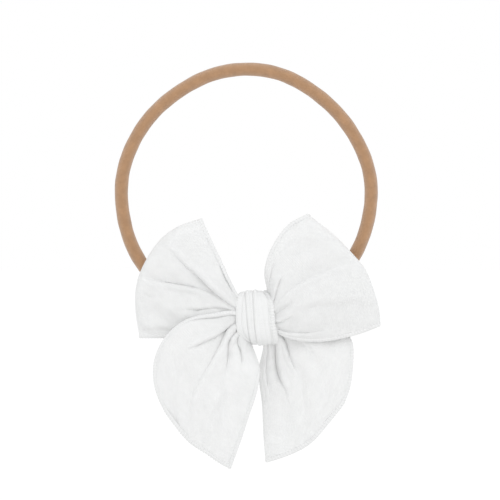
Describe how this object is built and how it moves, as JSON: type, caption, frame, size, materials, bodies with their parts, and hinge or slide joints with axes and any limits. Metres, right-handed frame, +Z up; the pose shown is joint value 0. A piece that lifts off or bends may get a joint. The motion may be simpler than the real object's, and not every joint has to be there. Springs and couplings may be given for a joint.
{
  "type": "hair bow headband",
  "caption": "White fabric bow with puffed loops, pointed hanging tails and a pleated centre wrap on a soft tan stretch nylon ring that goes round a baby's head.",
  "frame": {"origin": "centre of the flat back face of the centre wrap, the face that lies against the head", "axes": "X across the bow, +Y out of the wrap's back towards the head, +Z up through the band ring; the bow's front faces -Y"},
  "size_m": [0.1108, 0.0186, 0.1694],
  "materials": {
    "white_cotton": "matte plain weave",
    "white_hem": "rolled edge with overlock stitching",
    "white_thread": "matte twisted thread",
    "tan_nylon": "soft matte fine rib knit",
    "tan_thread": "matte twisted thread"
  },
  "bodies": {
    "knot": {"centre_wrap": "white_cotton", "wrap_left_hem": "white_hem", "wrap_right_hem": "white_hem", "gathered_waist": "white_cotton", "cinch_thread": "white_thread", "wrap_tack_stitches": "white_thread"},
    "band_lower": {"nylon_band_lower": "tan_nylon", "band_joint_thread": "tan_thread"},
    "band_upper": {"nylon_band_upper": "tan_nylon"},
    "left_loop": {"left_loop": "white_cotton", "left_loop_top_hem": "white_hem", "left_loop_bottom_hem": "white_hem"},
    "right_loop": {"right_loop": "white_cotton", "right_loop_top_hem": "white_hem", "right_loop_bottom_hem": "white_hem"},
    "left_tail": {"left_tail": "white_cotton", "left_tail_outer_hem": "white_hem", "left_tail_inner_hem": "white_hem"},
    "right_tail": {"right_tail": "white_cotton", "right_tail_outer_hem": "white_hem", "right_tail_inner_hem": "white_hem"}
  },
  "joints": [
    {"name": "band_swing", "type": "hinge", "parent": "knot", "child": "band_lower", "pos_m": [0, -0.0036, 0], "axis": [-1, 0, 0], "range_deg": [0, 100]},
    {"name": "band_stretch", "type": "slide", "parent": "band_lower", "child": "band_upper", "axis": [0, 0, 1], "range_m": [0, 0.06], "stiffness_N_per_m": 25},
    {"name": "left_loop_flop", "type": "hinge", "parent": "knot", "child": "left_loop", "pos_m": [-0.0125, -0.0099, 0], "axis": [0, 0, 1], "range_deg": [0, 35], "stiffness_Nm_per_rad": 0.006},
    {"name": "left_tail_flop", "type": "hinge", "parent": "left_loop", "child": "left_tail", "pos_m": [-0.0146, -0.0174, 0.0026], "axis": [-0.8779, 0, 0.4789], "range_deg": [0, 45], "stiffness_Nm_per_rad": 0.004},
    {"name": "right_loop_flop", "type": "hinge", "parent": "knot", "child": "right_loop", "pos_m": [0.0125, -0.0099, 0], "axis": [0, 0, -1], "range_deg": [0, 35], "stiffness_Nm_per_rad": 0.006},
    {"name": "right_tail_flop", "type": "hinge", "parent": "knot", "child": "right_tail", "pos_m": [0.0082, -0.004, -0.0134], "axis": [0.8336, 0, 0.5524], "range_deg": [0, 45], "stiffness_Nm_per_rad": 0.004}
  ]
}
